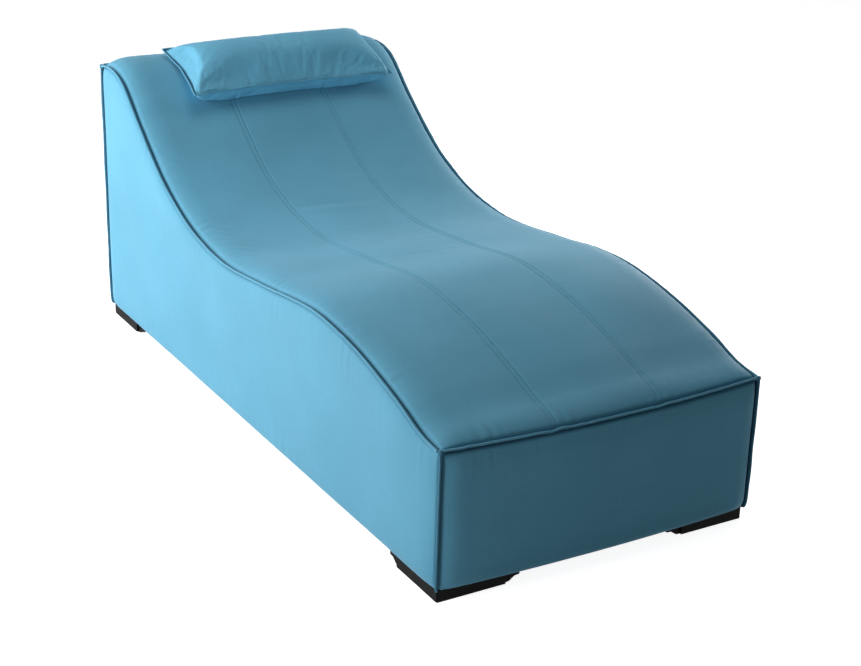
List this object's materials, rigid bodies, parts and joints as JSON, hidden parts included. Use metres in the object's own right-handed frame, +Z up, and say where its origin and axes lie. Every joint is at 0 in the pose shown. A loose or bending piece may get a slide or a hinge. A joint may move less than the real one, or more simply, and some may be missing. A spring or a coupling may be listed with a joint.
{
  "type": "spa relaxation lounger",
  "caption": "Low upholstered spa lounger with an S-shaped lying surface, swelling padded sides, sewn seams, a loose head pillow and moulded corner feet",
  "frame": {"origin": "centre of the footprint on the floor, under the middle of the body", "axes": "+Z up, +Y towards the head end, +X to the side that is on the right when one looks from the foot end"},
  "size_m": [0.77, 1.7434, 0.7469],
  "materials": {
    "cover_fabric": "smooth fine woven cover, low sheen",
    "foam": "open-cell upholstery foam",
    "filling": "soft fibre filling",
    "plywood": "raw birch plywood",
    "softwood": "planed softwood",
    "foot_plastic": "moulded, satin",
    "zinc_steel": "zinc plated",
    "tape": "hook-and-loop tape",
    "dust_fabric": "thin non-woven cloth"
  },
  "bodies": {
    "lounger": {"side_panel_left": "plywood", "side_panel_right": "plywood", "centre_rib": "plywood", "foot_end_board": "plywood", "head_end_board": "plywood", "base_rails": "softwood", "deck_battens": "softwood", "corner_blocks": "softwood", "curved_deck": "plywood", "seat_foam": "foam", "side_foam_left": "foam", "side_foam_right": "foam", "foot_end_foam": "foam", "head_end_foam": "foam", "top_cover_left": "cover_fabric", "top_cover_centre": "cover_fabric", "top_cover_right": "cover_fabric", "side_cover_left": "cover_fabric", "side_cover_right": "cover_fabric", "foot_end_cover": "cover_fabric", "head_end_cover": "cover_fabric", "edge_seam_left": "cover_fabric", "edge_seam_right": "cover_fabric", "foot_end_seam": "cover_fabric", "head_end_seam": "cover_fabric", "corner_seams": "cover_fabric", "dust_cover": "dust_fabric", "foot_front_left": "foot_plastic", "foot_front_right": "foot_plastic", "foot_back_left": "foot_plastic", "foot_back_right": "foot_plastic", "foot_screws": "zinc_steel", "frame_screws": "zinc_steel", "loop_tape": "tape"},
    "pillow": {"hook_tape": "tape", "pillow_top_panel": "cover_fabric", "pillow_under_panel": "cover_fabric", "pillow_filling": "filling"}
  },
  "joints": [
    {"name": "pillow_lift", "type": "slide", "parent": "lounger", "child": "pillow", "axis": [0, -0.3205, 0.9473], "range_m": [0, 0.15]}
  ]
}
